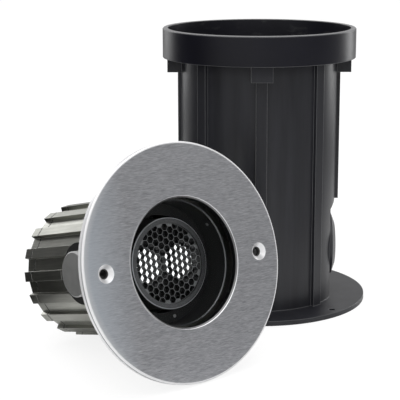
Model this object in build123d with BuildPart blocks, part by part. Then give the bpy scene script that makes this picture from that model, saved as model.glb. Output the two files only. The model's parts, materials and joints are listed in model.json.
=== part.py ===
from build123d import *
import os
from math import atan, ceil, cos, degrees, hypot, radians, sin

# In-ground well light: a moulded burial sleeve, and the lamp that hangs in it, here set down on
# the floor beside it. Millimetres, +Z up, origin at the centre of the sleeve's base.
# On the lamp every "front", "back" and "depth" is measured from the faceplate's front face,
# inward along the lamp's axis. Sizes run outward from the lenses to the sleeve, so what goes
# round a piece follows it.

os.makedirs("parts", exist_ok=True)

# --- optic: two lenses behind a honeycomb louvre, in a can that tilts -------------------------
lens_radius = 10.7
lens_gap = 4.0                   # between the two lenses
lens_length = 19.75
lens_stand = 0.75                # how far the lenses stand out of their pockets
lens_clearance = 0.1
lens_wall = 1.85                 # can wall outside the lens pockets
lens_setback = 3.25              # from the louvre back to the lenses
led_chip_side = 3.5
led_chip_thickness = 0.8
led_chip_gap = 0.2
louvre_thickness = 3.8
louvre_recess = 1.6              # how far the louvre lies inside the can's rim
louvre_clearance = 0.05
cell_pitch = 4.6
cell_wall = 0.35
can_rim_width = 3.35
can_rim_bevel = 0.5
can_base = 6.0

# --- pan ring: turns about the lamp's axis and carries the can on two pins --------------------
pan_ring_setback = 10.4          # from the can's rim
pan_ring_thickness = 3.0
pan_ring_clearance = 0.3
pan_end_play = 0.1
ear_gap = 0.7                    # from the can to each ear
ear_thickness = 3.0
ear_width = 10.0
ear_reach = 4.0                  # from the ring's back to the pins
ear_root = 1.2                   # how far each ear laps the ring
pin_radius = 2.0
pin_length = 3.9
pin_clearance = 0.05
pin_end_gap = 0.3

# --- faceplate, gasket and glass --------------------------------------------------------------
plate_overhang = 4.75            # beyond the sleeve's collar
plate_thickness = 4.5
plate_edge_bevel = 0.7
bore_bevel = 1.2
window_margin = 1.7              # plate bore outside the housing's bore
mounting_hole_radius = 2.75
mounting_hole_count = 2
countersink_radius = 5.7
countersink_angle = 90.0
face_gasket_thickness = 1.0
face_gasket_lip = 1.3            # gasket edge outside the plate's bore
glass_thickness = 4.0
glass_edge = 3.8                 # glass behind the plate, all round
glass_clearance = 0.3
glass_seat_bevel = 0.6

# --- lamp housing -----------------------------------------------------------------------------
optic_room = 7.1                 # from the glass to the can's rim
shelf_clearance = 2.2            # from the ears to the shelf's opening
shelf_width = 3.9
shelf_thickness = 3.0
housing_wall = 3.5
rib_height = 3.0
rib_width = 6.5
rib_count = 18
front_flange_margin = 5.5        # beyond the mounting screws' circle
front_flange_thickness = 8.0
bulkhead_thickness = 3.0
wire_hole_radius = 4.0
wire_hole_gap = 5.0              # from the driver

# --- side port --------------------------------------------------------------------------------
port_setback = 11.9              # from the shelf to the port's bore
port_bore_radius = 9.0
port_end_gap = 1.0               # from the port's bore to the bulkhead
port_seat_radius = 20.0
port_seat_step = 0.4             # the seat's face, out from the housing's facets
port_plug_radius = 14.5
port_plug_thickness = 5.6
port_plug_bevel = 0.8

# --- driver, rear cover and cable gland -------------------------------------------------------
driver_width = 44.0
driver_height = 34.0
driver_length = 26.0
terminal_width = 24.0
terminal_height = 12.0
terminal_length = 11.0
terminal_count = 3
terminal_entry = 4.0
terminal_entry_depth = 6.0
wiring_space = 8.0
rear_gasket_thickness = 0.8
rear_cover_length = 10.0
lobe_bevel = 1.5
cable_radius = 3.5
gland_thread_radius = 8.0
gland_thread_clearance = 0.1
gland_thread_length = 9.0
gland_hex = 20.0                 # across flats
gland_hex_length = 6.0
gland_neck_length = 7.0
gland_bore_clearance = 0.5
gland_nut_length = 12.7
gland_nut_gap = 1.5              # from the neck's end to the nut's floor
gland_nut_bevel = 2.0

# --- sleeve -----------------------------------------------------------------------------------
sleeve_height = 201.5
lamp_clearance = 8.8             # from the lamp's ribs to the tube
tube_wall = 3.0
lower_wall_step = 0.8            # extra wall in the tube's lower part
mounting_offset = 5.2            # screw circle outside the tube's bore
collar_height = 21.0
collar_floor = 3.0
collar_clearance = 2.0           # from the lamp's front flange to the collar's wall
collar_wall = 3.75
rim_bevel = 0.7
flange_reach = 9.75              # beyond the collar
flange_thickness = 3.4
drain_lip = 3.5
sleeve_rib_count = 8
sleeve_rib_width = 7.8
sleeve_rib_height = 2.5
boss_count = 4
boss_width = 15.0
boss_height = 11.0
boss_cover = 7.8                 # boss material outside the screw's centre line
boss_hole_radius = 2.1
boss_hole_floor = 2.0
anchor_count = 4
anchor_turn = 45.0
anchor_inset = 6.5
anchor_hole_radius = 2.25
side_flat_inset = 4.3            # how far each side flat lies inside the round wall
side_flat_slope = 4.5            # height of the slope from the flat back to the round wall
hub_height = 39.8
hub_shoulder = 2.1               # the hub's straight side, out from its flat
hub_cone = 2.6                   # height of the cone on it
conduit_radius = 13.45
hub_lip = 2.55                   # flat ring round the conduit's bore, where the cone ends
hub_cone_width = 7.0
hub_margin = 7.7                 # from the hub to the flat's slope

# --- how the lamp lies on the floor beside the sleeve -----------------------------------------
lamp_x = -50.4                   # centre of the faceplate's front
lamp_y = -177.0
lamp_yaw = 39.2                  # the face's heading, from -Y toward +X
lamp_roll = -3.0                 # turn about the lamp's own axis

# --- radii that follow, from the lenses outward -----------------------------------------------
lens_distance = lens_radius + lens_gap / 2
lens_pocket_radius = lens_radius + lens_clearance
can_bore_radius = lens_distance + lens_pocket_radius + lens_wall
louvre_radius = can_bore_radius - louvre_clearance
can_radius = can_bore_radius + can_rim_width
ear_inside = can_radius + ear_gap
ear_outside = ear_inside + ear_thickness
pan_ring_opening = ear_outside - ear_root
pin_tip = ear_inside - pin_length
shelf_opening_radius = ear_outside + shelf_clearance
housing_bore_radius = shelf_opening_radius + shelf_width
facet_distance = housing_bore_radius + housing_wall
housing_radius = facet_distance + rib_height
bore_radius = housing_bore_radius + window_margin
glass_radius = bore_radius + glass_edge
glass_pocket_radius = glass_radius + glass_clearance
port_seat_distance = facet_distance + port_seat_step
gland_bore_radius = cable_radius + gland_bore_clearance
tube_bore_radius = housing_radius + lamp_clearance
tube_radius = tube_bore_radius + tube_wall
lower_bore_radius = tube_bore_radius - lower_wall_step
mounting_circle_radius = tube_bore_radius + mounting_offset
front_flange_radius = mounting_circle_radius + front_flange_margin
collar_bore_radius = front_flange_radius + collar_clearance
collar_radius = collar_bore_radius + collar_wall
flange_radius = collar_radius + flange_reach
plate_radius = collar_radius + plate_overhang
anchor_circle_radius = flange_radius - anchor_inset
side_flat = tube_radius - side_flat_inset
side_flat_inside = side_flat - tube_wall
drain_radius = side_flat_inside - drain_lip
hub_shoulder_face = side_flat + hub_shoulder
hub_face = hub_shoulder_face + hub_cone
hub_face_radius = conduit_radius + hub_lip
hub_radius = hub_face_radius + hub_cone_width

# --- depths that follow, from the faceplate inward --------------------------------------------
flange_front = plate_thickness + face_gasket_thickness
flange_back = flange_front + front_flange_thickness
glass_back = flange_front + glass_thickness
can_front = glass_back + optic_room
louvre_front = can_front + louvre_recess
louvre_back = louvre_front + louvre_thickness
lens_front = louvre_back + lens_setback
pocket_front = lens_front + lens_stand
lens_back = lens_front + lens_length
led_chip_front = lens_back + led_chip_gap
pocket_floor = led_chip_front + led_chip_thickness
can_back = pocket_floor + can_base
pan_ring_front = can_front + pan_ring_setback
pan_ring_back = pan_ring_front + pan_ring_thickness
tilt_axis_depth = pan_ring_back + ear_reach
shelf_front = pan_ring_back + pan_end_play
shelf_back = shelf_front + shelf_thickness
port_depth = shelf_back + port_setback + port_bore_radius
bulkhead_front = port_depth + port_bore_radius + port_end_gap
bulkhead_back = bulkhead_front + bulkhead_thickness
driver_back = bulkhead_back + driver_length
terminal_back = driver_back + terminal_length
rear_cover_front = terminal_back + wiring_space
housing_back = rear_cover_front - rear_gasket_thickness
lamp_length = rear_cover_front + rear_cover_length
gland_front = lamp_length - gland_thread_length
gland_hex_back = lamp_length + gland_hex_length
gland_neck_back = gland_hex_back + gland_neck_length
gland_nut_floor = gland_neck_back + gland_nut_gap
gland_nut_back = gland_hex_back + gland_nut_length
wire_hole_distance = driver_height / 2 + wire_hole_gap + wire_hole_radius

# --- heights that follow on the sleeve --------------------------------------------------------
collar_bottom = sleeve_height - collar_height
collar_floor_top = collar_bottom + collar_floor
boss_bottom = collar_bottom - boss_height
boss_hole_bottom = boss_bottom + boss_hole_floor
side_flat_height = hub_height + hub_radius + hub_margin
slope_top = side_flat_height + side_flat_slope
step_height = slope_top - tube_wall

# --- the lamp's place: it rests on the plate's back edge and on its lowest rib's corner -------
rib_pitch = 360 / rib_count
straight_down = 270 - lamp_roll
past_a_rib = straight_down % rib_pitch
lowest_rib = radians(min(past_a_rib, rib_pitch - past_a_rib))
rest_radius = housing_radius * cos(lowest_rib) + rib_width / 2 * sin(lowest_rib)
rest_span = lamp_length - lobe_bevel - plate_thickness
lamp_tilt = degrees(atan((plate_radius - rest_radius) / rest_span))
lamp_z = plate_radius * cos(radians(lamp_tilt)) + plate_thickness * sin(radians(lamp_tilt))

level = Vector(cos(radians(lamp_yaw)), sin(radians(lamp_yaw)), 0)
face_normal = Vector(
    sin(radians(lamp_yaw)) * cos(radians(lamp_tilt)),
    -cos(radians(lamp_yaw)) * cos(radians(lamp_tilt)),
    sin(radians(lamp_tilt)),
)
face_x = level.rotate(Axis((0, 0, 0), face_normal), lamp_roll)
face = Plane(origin=(lamp_x, lamp_y, lamp_z), x_dir=face_x, z_dir=face_normal)
lamp_axis = Axis(face.origin, face.z_dir)
on_base = (Align.CENTER, Align.CENTER, Align.MIN)


def side_plane(depth, side):
    """Plane through the lamp's axis at a depth, looking out along the screw line (side 1 or -1)."""
    return Plane(
        origin=face.from_local_coords((0, 0, -depth)), x_dir=face.y_dir, z_dir=face.x_dir * side
    )


def disc(front, back, outer, inner=0.0, mode=Mode.ADD):
    """Disc or ring about the lamp's axis, between two depths."""
    with BuildSketch(face.offset(-front)) as outline:
        Circle(outer)
        if inner > 0:
            Circle(inner, mode=Mode.SUBTRACT)
    extrude(outline.sketch, amount=front - back, mode=mode)


def side_disc(depth, side, start, end, outer, mode=Mode.ADD):
    """Disc about the screw line at a depth, between two distances from the lamp's axis."""
    with BuildSketch(side_plane(depth, side).offset(start)) as outline:
        Circle(outer)
    extrude(outline.sketch, amount=end - start, mode=mode)


def screw_holes(front, back):
    """Holes for the mounting screws, between two depths."""
    with BuildSketch(face.offset(-front)) as outline:
        with PolarLocations(mounting_circle_radius, mounting_hole_count):
            Circle(mounting_hole_radius)
    extrude(outline.sketch, amount=front - back, mode=Mode.SUBTRACT)


def ribbed_wall(front, back):
    """Many-sided solid with a rib on each facet's corner, as on the housing and its rear cover."""
    with BuildSketch(face.offset(-front)) as outline:
        with PolarLocations(housing_radius / 2, rib_count):
            Rectangle(housing_radius, rib_width)
        RegularPolygon(facet_distance, rib_count, major_radius=False)
    extrude(outline.sketch, amount=front - back)


def hexagon(front, back, across_flats):
    """Hexagon about the lamp's axis, between two depths."""
    with BuildSketch(face.offset(-front)) as outline:
        RegularPolygon(across_flats / 2, 6, major_radius=False)
    extrude(outline.sketch, amount=front - back)


def finish(piece, label):
    """Label a finished piece and write it."""
    piece.part.label = label
    export_step(piece.part, f"parts/{label}.step")


# =============================== the sleeve ===================================================

with BuildPart() as sleeve_body:
    # base flange
    with BuildSketch():
        Circle(flange_radius)
    extrude(amount=flange_thickness)
    # round wall with its ribs, up to the collar
    with BuildSketch():
        Circle(tube_radius)
        with PolarLocations(tube_radius, sleeve_rib_count):
            Rectangle(2 * sleeve_rib_height, sleeve_rib_width)
    extrude(amount=collar_bottom)
    # a flat at each side, sloping back to the round wall, where the side ribs end
    with BuildSketch(Plane.XZ):
        with BuildLine():
            Polyline(
                (side_flat, flange_thickness),
                (side_flat, side_flat_height),
                (tube_radius, slope_top),
                (flange_radius, slope_top),
                (flange_radius, flange_thickness),
                close=True,
            )
        make_face()
        mirror(about=Plane.YZ)
    extrude(amount=flange_radius, both=True, mode=Mode.SUBTRACT)
    # a conduit hub on each flat, with a shallow cone on its face
    with BuildSketch(Plane.YZ.offset(-hub_shoulder_face)):
        with Locations((0, hub_height)):
            Circle(hub_radius)
    extrude(amount=2 * hub_shoulder_face)
    for side in (1, -1):
        shoulder = (side * hub_shoulder_face, 0, hub_height)
        with Locations(Plane(origin=shoulder, z_dir=(side, 0, 0))):
            Cone(hub_radius, hub_face_radius, hub_cone, align=on_base)
    # collar, with its rim bevelled, and the four screw bosses under it
    with BuildSketch(Plane.XY.offset(collar_bottom)):
        Circle(collar_radius)
    extrude(amount=collar_height)
    chamfer(sleeve_body.faces().sort_by(Axis.Z)[-1].edges(), rim_bevel)
    with BuildSketch(Plane.XY.offset(boss_bottom)):
        with PolarLocations(mounting_circle_radius, boss_count):
            Rectangle(2 * boss_cover, boss_width)
    extrude(amount=boss_height)
    # inside: collar recess, round tube, then the flat-sided lower tube, then the drain
    with BuildSketch(Plane.XY.offset(collar_floor_top)):
        Circle(collar_bore_radius)
    extrude(amount=collar_height, mode=Mode.SUBTRACT)
    with BuildSketch(Plane.XY.offset(step_height)):
        Circle(tube_bore_radius)
    extrude(amount=collar_floor_top - step_height, mode=Mode.SUBTRACT)
    with BuildSketch(Plane.XY.offset(flange_thickness)):
        Circle(lower_bore_radius)
        Rectangle(2 * side_flat_inside, 2 * lower_bore_radius, mode=Mode.INTERSECT)
    extrude(amount=step_height - flange_thickness, mode=Mode.SUBTRACT)
    with BuildSketch():
        Circle(drain_radius)
    extrude(amount=flange_thickness, mode=Mode.SUBTRACT)
    # conduit entries through both hubs
    with BuildSketch(Plane.YZ.offset(-hub_face)):
        with Locations((0, hub_height)):
            Circle(conduit_radius)
    extrude(amount=2 * hub_face, mode=Mode.SUBTRACT)
    # screw holes in the bosses
    with BuildSketch(Plane.XY.offset(boss_hole_bottom)):
        with PolarLocations(mounting_circle_radius, boss_count):
            Circle(boss_hole_radius)
    extrude(amount=collar_floor_top - boss_hole_bottom, mode=Mode.SUBTRACT)
    # anchor holes through the flange
    with BuildSketch():
        with PolarLocations(anchor_circle_radius, anchor_count, start_angle=anchor_turn):
            Circle(anchor_hole_radius)
    extrude(amount=flange_thickness, mode=Mode.SUBTRACT)
finish(sleeve_body, "sleeve_body")

# =============================== the lamp =====================================================

with BuildPart() as faceplate:
    disc(0, plate_thickness, plate_radius)
    chamfer(faceplate.faces().sort_by(lamp_axis)[-1].edges(), plate_edge_bevel)
    disc(0, plate_thickness, bore_radius, mode=Mode.SUBTRACT)
    front_edges = faceplate.faces().sort_by(lamp_axis)[-1].edges()
    chamfer(front_edges.sort_by(SortBy.RADIUS)[0], bore_bevel)
    with Locations(face):
        with PolarLocations(mounting_circle_radius, mounting_hole_count):
            CounterSinkHole(
                mounting_hole_radius, countersink_radius, counter_sink_angle=countersink_angle
            )
finish(faceplate, "faceplate")

with BuildPart() as face_gasket:
    disc(plate_thickness, flange_front, front_flange_radius, bore_radius + face_gasket_lip)
    screw_holes(plate_thickness, flange_front)
finish(face_gasket, "face_gasket")

with BuildPart() as front_glass:
    disc(flange_front, glass_back, glass_radius)
finish(front_glass, "front_glass")

with BuildPart() as lamp_housing:
    ribbed_wall(flange_back, housing_back)
    # round seat of the side port, with the ribs cut away round it
    side_disc(
        port_depth,
        -1,
        port_seat_distance,
        front_flange_radius,
        port_seat_radius,
        mode=Mode.SUBTRACT,
    )
    side_disc(port_depth, -1, 0, port_seat_distance, port_seat_radius)
    disc(flange_front, flange_back, front_flange_radius)
    screw_holes(flange_front, flange_back)
    # optic chamber, with the glass's bevelled seat and the pan ring's shelf, and driver chamber
    disc(flange_front, shelf_front, housing_bore_radius, mode=Mode.SUBTRACT)
    disc(flange_front, glass_back, glass_pocket_radius, mode=Mode.SUBTRACT)
    with Locations(face.offset(-glass_back - glass_seat_bevel)):
        Cone(
            housing_bore_radius,
            housing_bore_radius + glass_seat_bevel,
            glass_seat_bevel,
            align=on_base,
            mode=Mode.SUBTRACT,
        )
    disc(shelf_front, shelf_back, shelf_opening_radius, mode=Mode.SUBTRACT)
    disc(shelf_back, bulkhead_front, housing_bore_radius, mode=Mode.SUBTRACT)
    disc(bulkhead_back, housing_back, housing_bore_radius, mode=Mode.SUBTRACT)
    # the port's bore, and the wire hole past the driver
    side_disc(port_depth, -1, 0, port_seat_distance, port_bore_radius, mode=Mode.SUBTRACT)
    with BuildSketch(face.offset(-bulkhead_front)):
        with Locations((0, wire_hole_distance)):
            Circle(wire_hole_radius)
    extrude(amount=-bulkhead_thickness, mode=Mode.SUBTRACT)
finish(lamp_housing, "lamp_housing")

with BuildPart() as side_port_plug:
    plug_face = port_seat_distance + port_plug_thickness
    side_disc(port_depth, -1, port_seat_distance, plug_face, port_plug_radius)
    screw_line = Axis(face.origin, face.x_dir)
    chamfer(side_port_plug.faces().sort_by(screw_line)[0].edges(), port_plug_bevel)
finish(side_port_plug, "side_port_plug")

with BuildPart() as driver_module:
    with BuildSketch(face.offset(-bulkhead_back)):
        Rectangle(driver_width, driver_height)
    extrude(amount=-driver_length)
finish(driver_module, "driver_module")

with BuildPart() as terminal_block:
    with BuildSketch(face.offset(-driver_back)):
        Rectangle(terminal_width, terminal_height)
    extrude(amount=-terminal_length)
    with BuildSketch(face.offset(-terminal_back)):
        with GridLocations(terminal_width / terminal_count, 0, terminal_count, 1):
            Rectangle(terminal_entry, terminal_entry)
    extrude(amount=terminal_entry_depth, mode=Mode.SUBTRACT)
finish(terminal_block, "terminal_block")

with BuildPart() as rear_cover_gasket:
    with BuildSketch(face.offset(-housing_back)):
        RegularPolygon(facet_distance, rib_count, major_radius=False)
        RegularPolygon(
            housing_bore_radius, rib_count, major_radius=False, mode=Mode.SUBTRACT
        )
    extrude(amount=-rear_gasket_thickness)
finish(rear_cover_gasket, "rear_cover_gasket")

with BuildPart() as rear_cover:
    ribbed_wall(rear_cover_front, lamp_length)
    chamfer(rear_cover.faces().sort_by(lamp_axis)[0].edges(), lobe_bevel)
    disc(
        rear_cover_front,
        lamp_length,
        gland_thread_radius + gland_thread_clearance,
        mode=Mode.SUBTRACT,
    )
finish(rear_cover, "rear_cover")

with BuildPart() as gland_body:
    disc(gland_front, gland_neck_back, gland_thread_radius)
    hexagon(lamp_length, gland_hex_back, gland_hex)
    disc(gland_front, gland_neck_back, gland_bore_radius, mode=Mode.SUBTRACT)
finish(gland_body, "gland_body")

with BuildPart() as gland_nut:
    hexagon(gland_hex_back, gland_nut_back, gland_hex)
    chamfer(gland_nut.faces().sort_by(lamp_axis)[0].edges(), gland_nut_bevel)
    disc(gland_hex_back, gland_nut_back, cable_radius, mode=Mode.SUBTRACT)
    disc(
        gland_hex_back,
        gland_nut_floor,
        gland_thread_radius + gland_thread_clearance,
        mode=Mode.SUBTRACT,
    )
finish(gland_nut, "gland_nut")

# =============================== the pan ring =================================================

with BuildPart() as pan_ring:
    disc(
        pan_ring_front,
        pan_ring_back,
        housing_bore_radius - pan_ring_clearance,
        pan_ring_opening,
    )
    ear_length = tilt_axis_depth - pan_ring_front
    for side in (1, -1):
        # ear: a tongue from the ring back to the tilt axis, with a round end and a pin
        with BuildSketch(side_plane(tilt_axis_depth, side).offset(ear_inside)):
            Circle(ear_width / 2)
            with Locations((0, side * ear_length / 2)):
                Rectangle(ear_width, ear_length)
        extrude(amount=ear_thickness)
        side_disc(tilt_axis_depth, side, pin_tip, ear_inside, pin_radius)
finish(pan_ring, "pan_ring")

# =============================== the optic ====================================================

with BuildPart() as optic_can:
    disc(can_front, can_back, can_radius)
    chamfer(optic_can.faces().sort_by(lamp_axis)[-1].edges(), can_rim_bevel)
    disc(can_front, pocket_front, can_bore_radius, mode=Mode.SUBTRACT)
    # a pocket for each lens, and a blind hole for each pin
    with BuildSketch(face.offset(-pocket_front)):
        with PolarLocations(lens_distance, 2):
            Circle(lens_pocket_radius)
    extrude(amount=pocket_front - pocket_floor, mode=Mode.SUBTRACT)
    for side in (1, -1):
        side_disc(
            tilt_axis_depth,
            side,
            pin_tip - pin_end_gap,
            can_radius,
            pin_radius + pin_clearance,
            mode=Mode.SUBTRACT,
        )
finish(optic_can, "optic_can")

with BuildPart() as led_chips:
    with BuildSketch(face.offset(-led_chip_front)):
        with PolarLocations(lens_distance, 2):
            Rectangle(led_chip_side, led_chip_side)
    extrude(amount=-led_chip_thickness)
finish(led_chips, "led_chips")

with BuildPart() as tir_lenses:
    with BuildSketch(face.offset(-lens_front)):
        with PolarLocations(lens_distance, 2):
            Circle(lens_radius)
    extrude(amount=-lens_length)
finish(tir_lenses, "tir_lenses")

# honeycomb cells in upright columns, each column half a cell up or down from the next
cell_field_radius = louvre_radius - cell_wall
column_pitch = cell_pitch * cos(radians(30))
column_reach = ceil(cell_field_radius / column_pitch)
row_reach = ceil(cell_field_radius / cell_pitch) + 1
cell_centres = []
for column in range(-column_reach, column_reach + 1):
    for row in range(-row_reach, row_reach + 1):
        cell_x = column * column_pitch
        cell_y = (row + (column % 2) / 2) * cell_pitch
        if hypot(cell_x, cell_y) < cell_field_radius:
            cell_centres.append((cell_x, cell_y))

with BuildPart() as honeycomb_louvre:
    disc(louvre_front, louvre_back, louvre_radius)
    with BuildSketch(face.offset(-louvre_front)):
        with Locations(*cell_centres):
            RegularPolygon((cell_pitch - cell_wall) / 2, 6, major_radius=False)
        Circle(cell_field_radius, mode=Mode.INTERSECT)
    extrude(amount=-louvre_thickness, mode=Mode.SUBTRACT)
finish(honeycomb_louvre, "honeycomb_louvre")
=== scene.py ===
import json
import math

import bmesh
import bpy
from mathutils import Matrix, Vector


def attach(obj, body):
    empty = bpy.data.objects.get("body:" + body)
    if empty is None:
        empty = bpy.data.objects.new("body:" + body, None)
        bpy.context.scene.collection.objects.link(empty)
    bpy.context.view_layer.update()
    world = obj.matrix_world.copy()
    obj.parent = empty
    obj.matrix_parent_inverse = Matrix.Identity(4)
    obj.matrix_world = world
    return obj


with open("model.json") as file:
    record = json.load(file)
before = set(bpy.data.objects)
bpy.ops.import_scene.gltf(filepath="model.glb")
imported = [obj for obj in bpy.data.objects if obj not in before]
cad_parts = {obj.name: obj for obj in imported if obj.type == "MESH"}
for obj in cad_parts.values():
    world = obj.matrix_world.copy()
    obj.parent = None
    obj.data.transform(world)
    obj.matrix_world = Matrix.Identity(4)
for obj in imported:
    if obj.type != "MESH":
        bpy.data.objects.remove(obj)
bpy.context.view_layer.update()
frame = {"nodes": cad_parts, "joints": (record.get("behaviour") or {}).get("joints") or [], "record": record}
nodes = frame["nodes"]
mounts = {mount["name"]: mount for mount in frame["record"]["mounts"]}
joints = {joint["name"]: joint for joint in frame["joints"]}

# --- the lamp's own directions, read from the frame ----------------------------------------------
HOLES_BEHIND_FACE = 0.004                  # where the holes' mount is stated, metres
lamp_axis = Vector(mounts["faceplate_holes"]["axis"]).normalized()     # out of the face
lamp_across = Vector(joints["optic_tilt"]["axis"]).normalized()        # along the screw line
lamp_up = lamp_axis.cross(lamp_across)
face_centre = Vector(mounts["faceplate_holes"]["pos_m"]) + lamp_axis * HOLES_BEHIND_FACE
LAMP_AXES = (lamp_across, lamp_up, lamp_axis)
SLEEVE_AXES = ((1, 0, 0), (0, 1, 0), (0, 0, 1))

# --- camera: the photograph's viewpoint ----------------------------------------------------------
CAMERA_PLACE = Vector((-0.03398, -0.94229, 0.28752))
CAMERA_HEADING = math.radians(-0.574)      # from +Y toward +X
CAMERA_PITCH = math.radians(12.849)        # below the horizon
CAMERA_ROLL = math.radians(-0.176)
CAMERA_LENS = 116.09                       # mm on the sensor's width
SENSOR_WIDTH = 36.0                        # mm

# --- faceplate, metres: radii from the lamp's axis, depths behind the faceplate's front ----------
PLATE_EDGE = 0.0737                        # the bright turned edge starts at this radius
PLATE_RIM_HIGHLIGHT = 0.0700                        # at the left a painted highlight grows from this radius to the edge
PLATE_LEFT_SHEEN = (-0.075, -0.040)              # across, where the painted sheen on the face's left is lightest and where it ends
PLATE_RISE = (-0.07, 0.07)                 # upward, over which it grows a little lighter
FACE_DEPTH = 0.00006                       # what lies deeper isn't the brushed face,
FACE_FADE = 0.00004                        # and how far that change reaches
EDGE_SHADE_DEPTHS = (0.0012, 0.0021)             # depths of the painted shade line round the edge
EDGE_SHADE_RISE = (-0.02, 0.03)                # upward, over which that painted shade fades
BORE_HIGHLIGHT_RADIUS = 0.04190                        # outside of the painted highlight line round the bore's left
BORE_RIGHT = (-0.034, -0.022)              # across, where the bore's right side starts
BORE_LIP = 0.00035                         # depths where the bevel's bright top gives way to painted shade at the right, and where the bevel ends
BORE_BEVEL = 0.00125
BORE_ZONE = 0.045                          # nothing but the bore is cut inside this radius,
HOLE_ZONE = (0.050, 0.068)                 # and nothing but the screw holes between these
HOLE_PLACE = 0.059                         # screw holes, out from the centre
HOLE_START = 0.0026                        # depth inside their cones where their painted shade starts

# --- housing, its side port and rear cover, metres -----------------------------------------------
SEAT_RADIUS = 0.03915                      # outside of the bevel on the glass's seat
SEAT_DEPTH = 0.01015
SEAT_ZONE = 0.03965                        # nothing but the seat is that deep inside this radius
POCKET_RADIUS = 0.0445                     # the glass's pocket
POCKET_DEPTH = 0.00945
CHAMBER_END = 0.1115                       # the black chamber ends short of the rear cover
FLANGE_HOLE_ZONE = (0.055, 0.0635)         # radii between which the flange's screw holes lie
FLANGE_HOLE_END = 0.0133                   # and the depth that they are painted black to, as shade
FLANGE_BACK = 0.0135
THREAD_PITCH = 0.001
COVER_SEAM = (0.1116, 0.1125)              # depths of the dark joint before the rear cover
REAR_FACE = 0.122
PORT_DEPTH = 0.054                         # the side port's axis
PORT_SEAT = 0.0424                         # its seat, out from the lamp's axis
PLUG_EDGE = 0.0138                         # radius where the plug's bevel starts
# a thin black ring round the side port's plug, put there as painted shade
PORT_SHADE_RING_INSIDE, PORT_SHADE_RING_OUTSIDE = 0.0146, 0.0197
PORT_SHADE_RING_THICKNESS = 0.0006
PORT_SHADE_RING_BEVEL = 0.00015

# --- optic, metres -------------------------------------------------------------------------------
CAN_RIM_DEPTH = 0.0172
CAN_EDGE_RADIUS = 0.0282
LOUVRE_FRONT = 0.01835                     # just behind the honeycomb's front edges
LENS_FRONT = 0.02535                       # just behind the lenses' fronts
PAN_RING_FRONT = 0.027

# --- small screws: radii in metres, turns in degrees from the screw line -------------------------
COVER_SCREW_RADIUS = 0.0335
COVER_SCREW_TURNS = (30, 90, 150, 210, 270, 330)
FLANGE_SCREW_RADIUS = 0.0555
FLANGE_SCREW_TURNS = (45, 135, 225, 315)
RING_SCREW_RADIUS = 0.0345
RING_SCREW_TURNS = (-80, 100)
BORE_PIN_RADIUS = 0.03848                  # the pin's foot, on the bore's wall
BORE_PIN_DEPTH = 0.0158
BORE_PIN_TURN = 33.5
SOCKET_HEAD = (                            # (radius, height) from the edge to the socket's floor
    (0.0027, 0.0), (0.0027, 0.0013), (0.0024, 0.0018), (0.0017, 0.0021), (0.0013, 0.0021),
    (0.0012, 0.0008), (0.0, 0.0008))
LOW_HEAD = (
    (0.0011, 0.0), (0.0011, 0.0004), (0.0008, 0.0006), (0.0005, 0.0006), (0.0004, 0.0003),
    (0.0, 0.0003))

# --- sleeve, metres from its axis and over the ground --------------------------------------------
COLLAR_BASE = 0.1805                       # inside the collar the sleeve is scuffed over this
COLLAR_BORE = 0.0668
COLLAR_LIP_HIGHLIGHT = 0.2011                        # over this the collar's top edge is painted light: a painted highlight
COLLAR_SHADE_MIDDLE = 0.1765                     # middle of the change from the tube's colour to the collar's, which lies on the tube just under the collar as painted shade, and how far that change reaches
COLLAR_SHADE_FADE = 0.009                        # the collar's, and how far that change reaches

# --- studio: places in metres, colours and levels from 0 to 1 ------------------------------------
FLOOR_REACH = 6.0
FLOOR_GAP = 0.0002                         # the floor lies this far under the part
FLOOR_COLOUR = (0.82, 0.82, 0.82)
FLOOR_GLOW = 1.15                          # white that only the camera sees in the floor
FLOOR_GLOW_SHARE = 0.74                    # and its share in what the camera sees there
# what the floor shows in reflections alone: bright near the part, and half bright far behind it
SWEEP_PLACE = (-0.15, -0.05, 0.0)
SWEEP_REACH = 0.80
SWEEP_FADE = 0.40
SWEEP_NEAR, SWEEP_FAR, SWEEP_BEHIND = 0.82, 0.12, 0.45
BEHIND_TOWARD = (0.35, 0.94, 0.0)
BEHIND_START = 0.5
# and cards that lie on it: grey at the right, dark at the left (place, reach, level)
FLOOR_CARDS = (
    ((0.62, -0.36, 0.0), 0.52, 0.40),
    ((-0.55, -0.02, 0.0), 0.41, 0.018),
)
CARD_FADE = 0.05
ROOM_LEVEL = 0.85
# where the room is dimmer: toward, start and end of the change as cosines, level
ROOM_CARDS = (
    ((0.96, -0.24, 0.13), 0.55, 0.95, 0.42),       # the right, which the plate shows
    ((0.0, 1.0, 0.2), 0.70, 0.97, 0.50),           # behind
    ((-0.95, 0.22, -0.10), 0.60, 0.90, 0.015),     # a dark card at the left
)
LIGHTS_AIM = Vector((-0.03, -0.07, 0.1))
SOFTBOXES = (                              # name, place, width, height, watts
    ("overhead", (-0.15, -0.05, 1.4), 2.2, 1.6, 12.0),
    ("behind_left", (-0.85, 0.85, 0.35), 0.5, 0.9, 2.1),
    ("behind_right", (0.95, 0.75, 0.35), 0.4, 0.8, 2.4),
)


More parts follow.
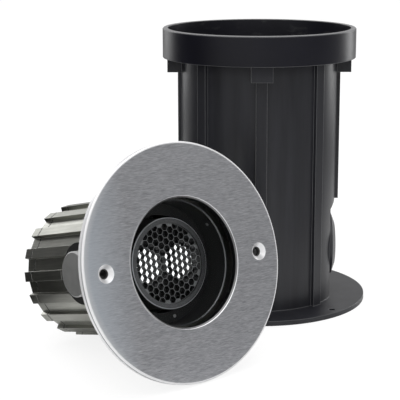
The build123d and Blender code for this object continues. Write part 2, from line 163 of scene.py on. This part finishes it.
def camera():
    """The camera, level but for its pitch and a trace of roll."""
    ahead = Vector((
        math.sin(CAMERA_HEADING) * math.cos(CAMERA_PITCH),
        math.cos(CAMERA_HEADING) * math.cos(CAMERA_PITCH),
        -math.sin(CAMERA_PITCH),
    ))
    right = Vector((math.cos(CAMERA_HEADING), -math.sin(CAMERA_HEADING), 0.0))
    up = right.cross(ahead)
    turn = Matrix.Rotation(-CAMERA_ROLL, 3, ahead)
    right, up = turn @ right, turn @ up
    data = bpy.data.cameras.new("camera")
    data.sensor_width = SENSOR_WIDTH
    data.lens = CAMERA_LENS
    data.clip_start = 0.05
    data.clip_end = 20.0
    made = bpy.data.objects.new("camera", data)
    bpy.context.scene.collection.objects.link(made)
    place = Matrix.Identity(4)
    for row in range(3):
        place[row] = (right[row], up[row], -ahead[row], CAMERA_PLACE[row])
    made.matrix_world = place
    bpy.context.scene.camera = made


# =============================== node helpers ====================================================

EDGE_COSINES = (0.86, 0.99)                # softened against true normal: on an edge, and off it


def is_socket(value):
    return hasattr(value, "is_output")


class Graph:
    """A node tree with short calls for the nodes that the surfaces share."""

    def __init__(self, tree, coordinates):
        self.tree = tree
        self.place = self.add("ShaderNodeTexCoord").outputs[coordinates]

    def add(self, kind, **settings):
        node = self.tree.nodes.new(kind)
        for key, value in settings.items():
            setattr(node, key, value)
        return node

    def feed(self, socket, value):
        """Link an output to a socket, or set the socket to a plain value."""
        if is_socket(value):
            self.tree.links.new(value, socket)
        else:
            socket.default_value = value

    # --- numbers ---

    def math(self, operation, first, second=0.0):
        node = self.add("ShaderNodeMath", operation=operation)
        self.feed(node.inputs[0], first)
        self.feed(node.inputs[1], second)
        return node.outputs[0]

    def plus(self, first, second):
        return self.math("ADD", first, second)

    def minus(self, first, second):
        return self.math("SUBTRACT", first, second)

    def times(self, first, second):
        return self.math("MULTIPLY", first, second)

    def invert(self, value):
        return self.minus(1.0, value)

    def hypotenuse(self, first, second):
        return self.math(
            "SQRT", self.plus(self.math("POWER", first, 2.0), self.math("POWER", second, 2.0)))

    def remap(self, value, low, high, to_low, to_high, kind="LINEAR"):
        """A value's range turned into another, with what lies outside it held at the ends."""
        node = self.add("ShaderNodeMapRange", clamp=True, interpolation_type=kind)
        numbers = (value, low, high, to_low, to_high)
        for key, number in zip(("Value", "From Min", "From Max", "To Min", "To Max"), numbers):
            self.feed(node.inputs[key], number)
        return node.outputs["Result"]

    def lerp(self, factor, first, second):
        """Number between two numbers."""
        return self.remap(factor, 0.0, 1.0, first, second)

    def beyond(self, value, limit, softness=0.0001):
        """1 where a value is over a limit, 0 where it is under."""
        return self.remap(value, limit - softness / 2, limit + softness / 2, 0.0, 1.0)

    def within(self, value, limit, softness=0.0001):
        """1 where a value is under a limit, 0 where it is over."""
        return self.invert(self.beyond(value, limit, softness))

    def between(self, value, low, high, softness=0.0001):
        """1 where a value lies between two limits."""
        return self.times(self.beyond(value, low, softness), self.within(value, high, softness))

    # --- places ---

    def along(self, direction, origin=(0, 0, 0)):
        """Distance along a direction from an origin, in metres."""
        shift = self.add("ShaderNodeVectorMath", operation="SUBTRACT")
        self.feed(shift.inputs[0], self.place)
        self.feed(shift.inputs[1], origin)
        dot = self.add("ShaderNodeVectorMath", operation="DOT_PRODUCT")
        self.feed(dot.inputs[0], shift.outputs[0])
        self.feed(dot.inputs[1], direction)
        return dot.outputs["Value"]

    def distance(self, origin):
        node = self.add("ShaderNodeVectorMath", operation="DISTANCE")
        self.feed(node.inputs[0], self.place)
        self.feed(node.inputs[1], origin)
        return node.outputs["Value"]

    def across(self):
        """Place along the lamp's screw line, positive to the right."""
        return self.along(lamp_across, face_centre)

    def upward(self):
        return self.along(lamp_up, face_centre)

    def depth(self):
        """Depth behind the faceplate's front."""
        return self.along(-lamp_axis, face_centre)

    def radius(self):
        """Distance from the lamp's axis."""
        return self.hypotenuse(self.across(), self.upward())

    def combine(self, *numbers):
        node = self.add("ShaderNodeCombineXYZ")
        for socket, number in zip(node.inputs, numbers):
            self.feed(socket, number)
        return node.outputs[0]

    # --- noise and colour ---

    def noise(self, scale, detail=3.0, roughness=0.5, vector=None):
        node = self.add("ShaderNodeTexNoise")
        self.feed(node.inputs["Vector"], vector or self.place)
        self.feed(node.inputs["Scale"], scale)
        self.feed(node.inputs["Detail"], detail)
        self.feed(node.inputs["Roughness"], roughness)
        return node.outputs["Fac"]

    def drawn_noise(self, axes, scales, detail=3.0, roughness=0.6):
        """Noise with its own scale along each of three axes."""
        scaled = (self.times(self.along(axis), scale) for axis, scale in zip(axes, scales))
        return self.noise(1.0, detail, roughness, self.combine(*scaled))

    def spread(self, noise, low, high, middle=(0.3, 0.7)):
        """The middle of a noise's range, spread from one number to another."""
        return self.remap(noise, *middle, low, high)

    def blend(self, factor, first, second):
        """Colour between two colours."""
        node = self.add("ShaderNodeMix", data_type="RGBA")
        self.feed(node.inputs["Factor"], factor)
        for socket, colour in ((node.inputs[6], first), (node.inputs[7], second)):
            self.feed(socket, colour if is_socket(colour) else (*colour, 1.0))
        return node.outputs[2]

    def mottle(self, noise, dark, light, middle=(0.3, 0.7)):
        """Colour that follows a noise from dark to light."""
        return self.blend(self.spread(noise, 0.0, 1.0, middle), dark, light)


class Surface(Graph):
    """A material, with calls for its edges and relief."""

    def __init__(self, name):
        self.material = bpy.data.materials.new(name)
        self.material.use_nodes = True
        super().__init__(self.material.node_tree, "Object")
        self.shader = self.tree.nodes["Principled BSDF"]
        self.output = self.tree.nodes["Material Output"]

    def soft_edges(self, radius=0.0004, samples=4):
        """Normal that rounds sharp edges off."""
        node = self.add("ShaderNodeBevel", samples=samples)
        self.feed(node.inputs["Radius"], radius)
        return node.outputs["Normal"]

    def edges(self, soft):
        """1 along sharp edges, where the softened normal leaves the true one, and 0 elsewhere."""
        dot = self.add("ShaderNodeVectorMath", operation="DOT_PRODUCT")
        self.feed(dot.inputs[0], soft)
        self.feed(dot.inputs[1], self.add("ShaderNodeNewGeometry").outputs["Normal"])
        return self.remap(dot.outputs["Value"], *EDGE_COSINES, 1.0, 0.0)

    def bump(self, height, distance, normal=None):
        node = self.add("ShaderNodeBump")
        self.feed(node.inputs["Strength"], 1.0)
        self.feed(node.inputs["Distance"], distance)
        self.feed(node.inputs["Height"], height)
        if normal is not None:
            self.feed(node.inputs["Normal"], normal)
        return node.outputs["Normal"]

    def finish(self, **sockets):
        """Set the shader's own sockets, given as words joined by underscores."""
        for key, value in sockets.items():
            self.feed(self.shader.inputs[key.replace("_", " ")], value)
        return self.material

    def mix_output(self, factor, first, second):
        """Send a mix of two shaders to the material's output."""
        mix = self.add("ShaderNodeMixShader")
        for socket, value in zip(mix.inputs, (factor, first.outputs[0], second.outputs[0])):
            self.feed(socket, value)
        self.feed(self.output.inputs["Surface"], mix.outputs[0])
        return self.material


# =============================== materials =======================================================

def sleeve_plastic():
    """Black moulding: blue-black collar with painted shade just under it, greyer drawn tube, edges lightened
    as wear and painted highlight, a painted highlight on the lip, scuffs inside.
    """
    g = Surface("sleeve_plastic")
    across, back, height = (g.along(axis) for axis in SLEEVE_AXES)
    streaks = g.drawn_noise(SLEEVE_AXES, (95.0, 95.0, 7.0), 4.0)
    tube = g.mottle(streaks, (0.0125, 0.0128, 0.0165), (0.026, 0.0265, 0.0325), (0.32, 0.70))
    collar = g.mottle(
        g.noise(17.0, 4.0), (0.0012, 0.0012, 0.0050), (0.0038, 0.0038, 0.0100), (0.35, 0.7))
    # the collar's darker colour reaches down onto the tube just under it: painted shade
    body = g.blend(g.beyond(height, COLLAR_SHADE_MIDDLE, COLLAR_SHADE_FADE), tube, collar)

    inside = g.times(
        g.beyond(height, COLLAR_BASE), g.within(g.hypotenuse(across, back), COLLAR_BORE))
    scuffs = g.spread(g.drawn_noise(SLEEVE_AXES, (60.0, 60.0, 160.0)), 0.15, 0.8, (0.56, 0.72))
    body = g.blend(g.times(inside, scuffs), body, (0.05, 0.05, 0.052))
    # the collar's top edge painted light: a painted highlight
    body = g.blend(g.beyond(height, COLLAR_LIP_HIGHLIGHT), body, (0.17, 0.17, 0.175))

    soft = g.soft_edges(0.0008, 8)
    return g.finish(
        # edges painted lighter: partly wear, partly a painted highlight
        Base_Color=g.blend(g.times(g.edges(soft), 0.85), body, (0.15, 0.152, 0.158)),
        Roughness=g.spread(g.noise(30.0, 2.0), 0.29, 0.34),
        Normal=g.bump(g.noise(2600.0, 2.0, 0.6), 0.00002, soft),
    )


def brushed_steel():
    """Stainless faceplate: fine brush strokes along the screw line, edge and bore turned bright, with
    painted highlights and painted shade.
    """
    g = Surface("brushed_steel")
    across, upward, radius, depth = g.across(), g.upward(), g.radius(), g.depth()
    turned_edge = g.beyond(radius, PLATE_EDGE)
    cut = g.times(g.beyond(depth, FACE_DEPTH, FACE_FADE), g.invert(turned_edge))  # bore and holes
    right_side = g.remap(across, *BORE_RIGHT, 0.0, 1.0)
    glint, turned = (0.93, 0.94, 0.96), (0.93, 0.93, 0.94)

    # the brushed face, with a painted sheen toward its left edge and a painted highlight near its rim there,
    # and a painted highlight line left of the bore
    strokes = g.drawn_noise(LAMP_AXES, (240.0, 4200.0, 4200.0), 3.0, 0.62)
    broad = g.drawn_noise(LAMP_AXES, (60.0, 900.0, 900.0), 2.0, 0.5)
    brushing = g.plus(g.times(strokes, 0.85), g.times(broad, 0.15))
    brushing = g.plus(brushing, g.remap(upward, *PLATE_RISE, -0.035, 0.03))
    face = g.mottle(brushing, (0.325, 0.33, 0.355), (0.635, 0.64, 0.665), (0.36, 0.64))
    left_sheen = g.remap(across, *PLATE_LEFT_SHEEN, 0.85, 0.0)
    face = g.blend(left_sheen, face, (0.74, 0.80, 0.87))
    rim_highlight = g.times(g.remap(radius, PLATE_RIM_HIGHLIGHT, PLATE_EDGE, 0.0, 1.0), left_sheen)
    face = g.blend(rim_highlight, face, glint)
    # painted highlight: a bright line on the face round the bore's left
    bore_highlight = g.times(g.within(radius, BORE_HIGHLIGHT_RADIUS), g.invert(right_side))
    face = g.blend(bore_highlight, face, glint)

    # the turned outer edge, with a painted shade line that is strongest below
    low_side = g.remap(upward, *EDGE_SHADE_RISE, 1.0, 0.25)
    edge_shade = g.times(g.times(turned_edge, low_side), g.between(depth, *EDGE_SHADE_DEPTHS, 0.0004))
    edge = g.blend(edge_shade, turned, (0.22, 0.23, 0.25))

    # the bore: its bevel is painted grey as shade at the right under a bright top, its wall is painted dark
    # as shade
    bore = g.within(radius, BORE_ZONE)
    lip_shade = g.times(g.times(bore, right_side), g.beyond(depth, BORE_LIP))
    machined = g.blend(lip_shade, turned, (0.20, 0.20, 0.205))
    machined = g.blend(g.times(bore, g.beyond(depth, BORE_BEVEL)), machined, (0.035, 0.035, 0.037))

    # the screw holes: each turned cone gets painted highlights in two opposite wedges, and painted shade
    # down the hole
    cone = g.times(cut, g.beyond(radius, BORE_ZONE))
    from_hole = g.minus(g.math("ABSOLUTE", across), HOLE_PLACE)
    turn = g.math("ARCTAN2", upward, from_hole)
    wedge_highlight = g.remap(g.math("SINE", g.plus(g.times(turn, 2.0), 0.9)), -1.0, -0.1, 0.0, 1.0)
    machined = g.blend(cone, machined, g.blend(wedge_highlight, (0.50, 0.50, 0.51), (0.96, 0.96, 0.97)))
    hole_shade = g.times(g.beyond(depth, HOLE_START), g.between(radius, *HOLE_ZONE))
    machined = g.blend(hole_shade, machined, (0.06, 0.06, 0.06))

    return g.finish(
        Base_Color=g.blend(turned_edge, g.blend(cut, face, machined), edge),
        Metallic=g.minus(g.lerp(turned_edge, 1.0, 0.25), g.times(cone, 0.85)),
        Roughness=g.lerp(turned_edge, g.spread(brushing, 0.30, 0.44), 0.30),
        Normal=g.bump(brushing, 0.00003, g.soft_edges(0.0002)),
    )


def housing_metal():
    """The cast housing: satin outside with edges lightened as wear and painted highlight, black inside with
    painted shade in the flange's screw holes, and the glass's bevelled seat left bright.
    """
    g = Surface("cast_aluminium")
    radius, depth = g.radius(), g.depth()
    chamber = g.times(g.within(radius, SEAT_RADIUS), g.between(depth, SEAT_DEPTH, CHAMBER_END))
    pocket = g.times(g.between(radius, SEAT_RADIUS, POCKET_RADIUS), g.within(depth, POCKET_DEPTH))
    # the flange's screw holes are painted black below: painted shade
    shaded_holes = g.times(g.between(radius, *FLANGE_HOLE_ZONE), g.within(depth, FLANGE_HOLE_END))
    black = g.math("MAXIMUM", g.math("MAXIMUM", chamber, pocket), shaded_holes)
    seat = g.times(g.between(depth, POCKET_DEPTH, SEAT_DEPTH), g.within(radius, SEAT_ZONE))

    # the cast skin, with a faint grain along the lamp's axis, a dark seam, and edges lightened as wear and
    # painted highlight
    grain = g.drawn_noise(LAMP_AXES, (900.0, 900.0, 40.0))
    shade = g.plus(g.times(grain, 0.5), g.times(g.noise(30.0, 4.0), 0.5))
    skin = g.mottle(shade, (0.35, 0.352, 0.32), (0.51, 0.512, 0.47), (0.35, 0.65))
    skin = g.blend(g.between(depth, *COVER_SEAM, 0.0002), skin, (0.02, 0.02, 0.018))
    soft = g.soft_edges()
    edge_wear_and_highlight = g.times(g.edges(soft), g.invert(black))
    skin = g.blend(g.times(edge_wear_and_highlight, 0.8), skin, (0.72, 0.72, 0.69))

    # the black inside; the flange's screw holes are painted black as shade, with painted highlights on their
    # threads at the right
    turns = g.math("SINE", g.times(depth, 2 * math.pi / THREAD_PITCH))
    thread_highlight = g.times(g.remap(turns, -0.4, 0.6, 0.0, 1.0), g.beyond(g.across(), 0.0))
    inside = g.blend(g.times(thread_highlight, shaded_holes), (0.015, 0.015, 0.0155), (0.45, 0.45, 0.46))

    return g.finish(
        Base_Color=g.blend(seat, g.blend(black, skin, inside), (0.17, 0.17, 0.175)),
        Metallic=g.minus(g.invert(black), g.times(edge_wear_and_highlight, 0.45)),
        Roughness=g.lerp(black, g.spread(g.noise(25.0, 2.0), 0.29, 0.34), 0.55),
        Normal=g.bump(grain, 0.00002, soft),
    )


def plug_metal():
    """Side port's plug: fine-blasted grey with a turned edge painted bright, partly its turned finish and
    partly a painted highlight.
    """
    g = Surface("plug_aluminium")
    grain = g.noise(1200.0, 3.0, 0.6)
    from_middle = g.hypotenuse(g.upward(), g.minus(g.depth(), PORT_DEPTH))
    face = g.mottle(g.noise(60.0), (0.145, 0.146, 0.144), (0.205, 0.206, 0.202))
    # beyond PLUG_EDGE the bevel is painted light: turned finish and a painted highlight
    return g.finish(
        Base_Color=g.blend(g.beyond(from_middle, PLUG_EDGE), face, (0.42, 0.42, 0.42)),
        Metallic=0.2,
        Roughness=g.spread(grain, 0.42, 0.55),
        Normal=g.bump(grain, 0.00002, g.soft_edges()),
    )


def can_metal():
    """Black optic can: grey front rim painted darker at the right as shade, and a painted highlight on its
    outer edge.
    """
    g = Surface("black_anodised")
    grain = g.noise(700.0, 3.0, 0.6)
    rim = g.within(g.depth(), CAN_RIM_DEPTH)
    edge = g.times(rim, g.beyond(g.radius(), CAN_EDGE_RADIUS))
    grey = g.mottle(grain, (0.125, 0.125, 0.13), (0.18, 0.18, 0.185))
    # the rim's right side painted darker: painted shade
    grey = g.blend(g.remap(g.across(), 0.005, 0.025, 0.0, 1.0), grey, (0.08, 0.08, 0.085))
    black = g.blend(grain, (0.006, 0.006, 0.007), (0.012, 0.012, 0.013))
    # the rim's outer edge is painted near white below: a painted highlight
    return g.finish(
        Base_Color=g.blend(edge, g.blend(rim, black, grey), (0.80, 0.80, 0.84)),
        Metallic=g.minus(g.times(rim, 0.9), g.times(edge, 0.7)),
        Roughness=g.spread(grain, 0.36, 0.5),
        Normal=g.bump(grain, 0.00002),
    )


def louvre_metal():
    """Honeycomb: grey on its front edges, dull black down its cells."""
    g = Surface("louvre_metal")
    grain = g.noise(900.0, 3.0, 0.6)
    front = g.within(g.depth(), LOUVRE_FRONT)
    grey = g.mottle(grain, (0.20, 0.20, 0.205), (0.33, 0.33, 0.335))
    return g.finish(
        Base_Color=g.blend(front, (0.007, 0.007, 0.008), grey),
        Metallic=g.times(front, 0.8),
        Roughness=0.45,
        Specular_IOR_Level=0.12,
        Normal=g.bump(grain, 0.00002),
    )


def screw_steel():
    """Plated small screws."""
    g = Surface("screw_steel")
    grain = g.noise(700.0, 3.0, 0.6)
    return g.finish(
        Base_Color=g.mottle(grain, (0.42, 0.42, 0.43), (0.62, 0.62, 0.63)),
        Metallic=1.0,
        Roughness=g.spread(g.noise(160.0), 0.26, 0.38),
        Normal=g.bump(grain, 0.00002, g.soft_edges(0.0002)),
    )


def moulded_plastic(name, colour):
    """Satin moulding: fine grain, faint wipe marks, edges lightened as wear and painted highlight."""
    g = Surface(name)
    lighter = tuple(min(1.0, 1.4 * channel) for channel in colour)
    edge_wear_and_highlight = tuple(min(1.0, channel + 0.10) for channel in colour)
    soft = g.soft_edges(0.0006)
    body = g.mottle(g.noise(14.0, 4.0), colour, lighter, (0.35, 0.7))
    return g.finish(
        # edges painted lighter: partly wear, partly a painted highlight
        Base_Color=g.blend(g.times(g.edges(soft), 0.7), body, edge_wear_and_highlight),
        Roughness=g.spread(g.noise(55.0, 5.0, 0.6), 0.45, 0.56),
        Normal=g.bump(g.noise(2600.0, 2.0, 0.6), 0.00003, soft),
    )


def rubber(name, colour):
    """Matt black rubber."""
    g = Surface(name)
    return g.finish(
        Base_Color=g.blend(g.noise(60.0), colour, tuple(1.5 * channel for channel in colour)),
        Roughness=g.spread(g.noise(300.0), 0.62, 0.8),
        Normal=g.bump(g.noise(1800.0, 2.0), 0.00003, g.soft_edges(0.0002)),
    )


def clear_glass():
    """Front glass: coated, so clear through with only a trace of a mirror on it."""
    g = Surface("clear_glass")
    clear = g.add("ShaderNodeBsdfTransparent")
    g.feed(clear.inputs["Color"], (0.97, 0.98, 0.98, 1.0))
    gloss = g.add("ShaderNodeBsdfGlossy")
    g.feed(gloss.inputs["Roughness"], 0.03)
    fresnel = g.add("ShaderNodeFresnel")
    g.feed(fresnel.inputs["IOR"], 1.12)
    smudges = g.spread(g.noise(40.0), 0.7, 1.0)
    return g.mix_output(g.times(fresnel.outputs[0], smudges), clear, gloss)


def lit_lens():
    """The two lenses, lit from behind: their fronts glow white, their sides stay dark."""
    g = Surface("lit_lens")
    front = g.within(g.depth(), LENS_FRONT)
    cloud = g.spread(g.noise(240.0, 2.0), 0.9, 1.0)
    return g.finish(
        Base_Color=g.blend(front, (0.02, 0.02, 0.02), (0.9, 0.92, 0.95)),
        Roughness=g.spread(g.noise(120.0), 0.12, 0.25),
        Emission_Color=g.blend(cloud, (0.92, 0.95, 0.98), (1.0, 1.0, 1.0)),
        Emission_Strength=g.times(front, 1.3),
    )


def led_phosphor():
    """Yellow chips behind the lenses."""
    g = Surface("led_phosphor")
    return g.finish(
        Base_Color=g.blend(g.noise(900.0), (0.85, 0.7, 0.2), (0.95, 0.82, 0.35)),
        Roughness=0.5,
        Emission_Color=(1.0, 0.97, 0.9, 1.0),
        Emission_Strength=3.0,
    )


def dress():
    """Give every CAD node its material."""
    chosen = {
        sleeve_plastic(): ("sleeve_body",),
        moulded_plastic("gland_nylon", (0.012, 0.012, 0.012)): ("gland_body", "gland_nut"),
        moulded_plastic("driver_case", (0.55, 0.55, 0.53)): ("driver_module",),
        moulded_plastic("terminal_plastic", (0.72, 0.72, 0.68)): ("terminal_block",),
        brushed_steel(): ("faceplate",),
        housing_metal(): ("lamp_housing", "rear_cover"),
        plug_metal(): ("side_port_plug",),
        can_metal(): ("pan_ring", "optic_can"),
        louvre_metal(): ("honeycomb_louvre",),
        rubber("black_rubber", (0.008, 0.008, 0.008)): ("face_gasket", "rear_cover_gasket"),
        clear_glass(): ("front_glass",),
        lit_lens(): ("tir_lenses",),
        led_phosphor(): ("led_chips",),
    }
    for material, names in chosen.items():
        for name in names:
            materials = nodes[name].data.materials
            if len(materials) == 0:
                materials.append(material)
            for index in range(len(materials)):
                materials[index] = material


# =============================== small pieces ====================================================

def turned_piece(name, profile, places, material, body, sides):
    """Rings or screws turned about an axis: profile points are (radius, height) in metres."""
    mesh = bmesh.new()
    for origin, axis in places:
        first = axis.orthogonal().normalized()
        second = axis.cross(first)
        rings = []
        for radius, height in profile:
            middle = origin + axis * height
            if radius == 0.0:
                rings.append([mesh.verts.new(middle)])
                continue
            turns = (2 * math.pi * side / sides for side in range(sides))
            rings.append([
                mesh.verts.new(middle + (first * math.cos(turn) + second * math.sin(turn)) * radius)
                for turn in turns])
        for near, far in zip(rings, rings[1:]):
            for side in range(sides):
                after = (side + 1) % sides
                if len(far) == 1:
                    mesh.faces.new((near[side], near[after], far[0]))
                else:
                    mesh.faces.new((near[side], near[after], far[after], far[side]))
    bmesh.ops.recalc_face_normals(mesh, faces=mesh.faces)
    data = bpy.data.meshes.new(name)
    mesh.to_mesh(data)
    mesh.free()
    data.materials.append(material)
    piece = bpy.data.objects.new(name, data)
    bpy.context.scene.collection.objects.link(piece)
    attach(piece, body)


def lamp_place(across, upward, depth):
    """A point on the lamp, from its face's centre."""
    return face_centre + lamp_across * across + lamp_up * upward - lamp_axis * depth


def circle_places(radius, turns, depth, axis):
    """Places on a circle round the lamp's axis, each with the direction that its piece points."""
    angles = [math.radians(turn) for turn in turns]
    return [
        (lamp_place(radius * math.cos(angle), radius * math.sin(angle), depth), axis)
        for angle in angles]


def small_pieces():
    """A black ring round the side port's plug as painted shade, and the small screws that the solids leave
    out.
    """
    ring = (
        (PORT_SHADE_RING_INSIDE, 0.0),
        (PORT_SHADE_RING_OUTSIDE, 0.0),
        (PORT_SHADE_RING_OUTSIDE, PORT_SHADE_RING_THICKNESS - PORT_SHADE_RING_BEVEL),
        (PORT_SHADE_RING_OUTSIDE - PORT_SHADE_RING_BEVEL, PORT_SHADE_RING_THICKNESS),
        (PORT_SHADE_RING_INSIDE + PORT_SHADE_RING_BEVEL, PORT_SHADE_RING_THICKNESS),
        (PORT_SHADE_RING_INSIDE, PORT_SHADE_RING_THICKNESS - PORT_SHADE_RING_BEVEL),
        (PORT_SHADE_RING_INSIDE, 0.0),
    )
    # a black ring on the port's seat round the plug: painted shade
    port = [(lamp_place(-PORT_SEAT, 0.0, PORT_DEPTH), -lamp_across)]
    shade_rubber = rubber("port_shade_rubber", (0.007, 0.007, 0.007))
    turned_piece("side_port_shade_ring", ring, port, shade_rubber, "lamp", 72)

    steel = screw_steel()
    cover = circle_places(COVER_SCREW_RADIUS, COVER_SCREW_TURNS, REAR_FACE, -lamp_axis)
    turned_piece("rear_cover_screws", SOCKET_HEAD, cover, steel, "lamp", 24)
    flange = circle_places(FLANGE_SCREW_RADIUS, FLANGE_SCREW_TURNS, FLANGE_BACK, -lamp_axis)
    turned_piece("faceplate_screws", SOCKET_HEAD, flange, steel, "lamp", 24)
    pan = circle_places(RING_SCREW_RADIUS, RING_SCREW_TURNS, PAN_RING_FRONT, lamp_axis)
    turned_piece("pan_ring_screws", LOW_HEAD, pan, steel, "pan", 20)

    turn = math.radians(BORE_PIN_TURN)
    outward = lamp_across * math.cos(turn) + lamp_up * math.sin(turn)
    bore = [(face_centre - lamp_axis * BORE_PIN_DEPTH + outward * BORE_PIN_RADIUS, -outward)]
    turned_piece("bore_pin", LOW_HEAD, bore, steel, "lamp", 20)


# =============================== studio ==========================================================

def lay_floor():
    """White floor that keeps a soft shadow. Reflections see a bright sweep and two cards on it."""
    corners = [(-1, -1), (1, -1), (1, 1), (-1, 1)]
    mesh = bpy.data.meshes.new("floor")
    mesh.from_pydata(
        [(FLOOR_REACH * x, FLOOR_REACH * y, 0) for x, y in corners], [], [(0, 1, 2, 3)])
    floor = bpy.data.objects.new("floor", mesh)
    bpy.context.scene.collection.objects.link(floor)
    floor.location.z = -FLOOR_GAP

    g = Surface("floor")
    path = g.add("ShaderNodeLightPath").outputs
    near = g.remap(
        g.distance(SWEEP_PLACE), SWEEP_REACH - SWEEP_FADE, SWEEP_REACH, SWEEP_NEAR, SWEEP_FAR)
    behind = g.remap(
        g.along(BEHIND_TOWARD), BEHIND_START, BEHIND_START + SWEEP_FADE, SWEEP_FAR, SWEEP_BEHIND)
    sweep = g.math("MAXIMUM", near, behind)
    mirror = g.combine(sweep, sweep, sweep)
    for place, reach, level in FLOOR_CARDS:
        card = g.within(g.distance(place), reach - CARD_FADE / 2, CARD_FADE)
        mirror = g.blend(card, mirror, (level, level, level))
    g.finish(
        Base_Color=g.blend(path["Is Glossy Ray"], FLOOR_COLOUR, mirror),
        Roughness=0.9,
        Specular_IOR_Level=0.0,
    )
    white = g.add("ShaderNodeEmission")
    g.feed(white.inputs["Color"], (1.0, 1.0, 1.0, 1.0))
    g.feed(white.inputs["Strength"], FLOOR_GLOW)
    mesh.materials.append(
        g.mix_output(g.times(path["Is Camera Ray"], FLOOR_GLOW_SHARE), g.shader, white))


def room():
    """Pale room, white to the camera. Reflections see it dimmer at the right, left and behind."""
    world = bpy.data.worlds.new("world")
    bpy.context.scene.world = world
    world.use_nodes = True
    g = Graph(world.node_tree, "Generated")
    level = ROOM_LEVEL
    for toward, start, end, dimmer in ROOM_CARDS:
        facing = g.along(Vector(toward).normalized())
        level = g.remap(facing, start, end, level, dimmer, "SMOOTHSTEP")
    background = g.tree.nodes["Background"]
    g.feed(background.inputs["Color"], (1.0, 1.0, 1.0, 1.0))
    seen = g.add("ShaderNodeLightPath").outputs["Is Camera Ray"]
    g.feed(background.inputs["Strength"], g.lerp(seen, level, 1.0))


def softboxes():
    """Large soft lamps, all aimed at the part."""
    for name, place, width, height, watts in SOFTBOXES:
        data = bpy.data.lights.new(name, "AREA")
        data.shape = "RECTANGLE"
        data.size = width
        data.size_y = height
        data.energy = watts
        lamp = bpy.data.objects.new(name, data)
        bpy.context.scene.collection.objects.link(lamp)
        lamp.location = place
        lamp.rotation_euler = (LIGHTS_AIM - Vector(place)).to_track_quat("-Z", "Y").to_euler()


camera()
dress()
small_pieces()
lay_floor()
room()
softboxes()
bpy.context.scene.view_settings.view_transform = "Standard"
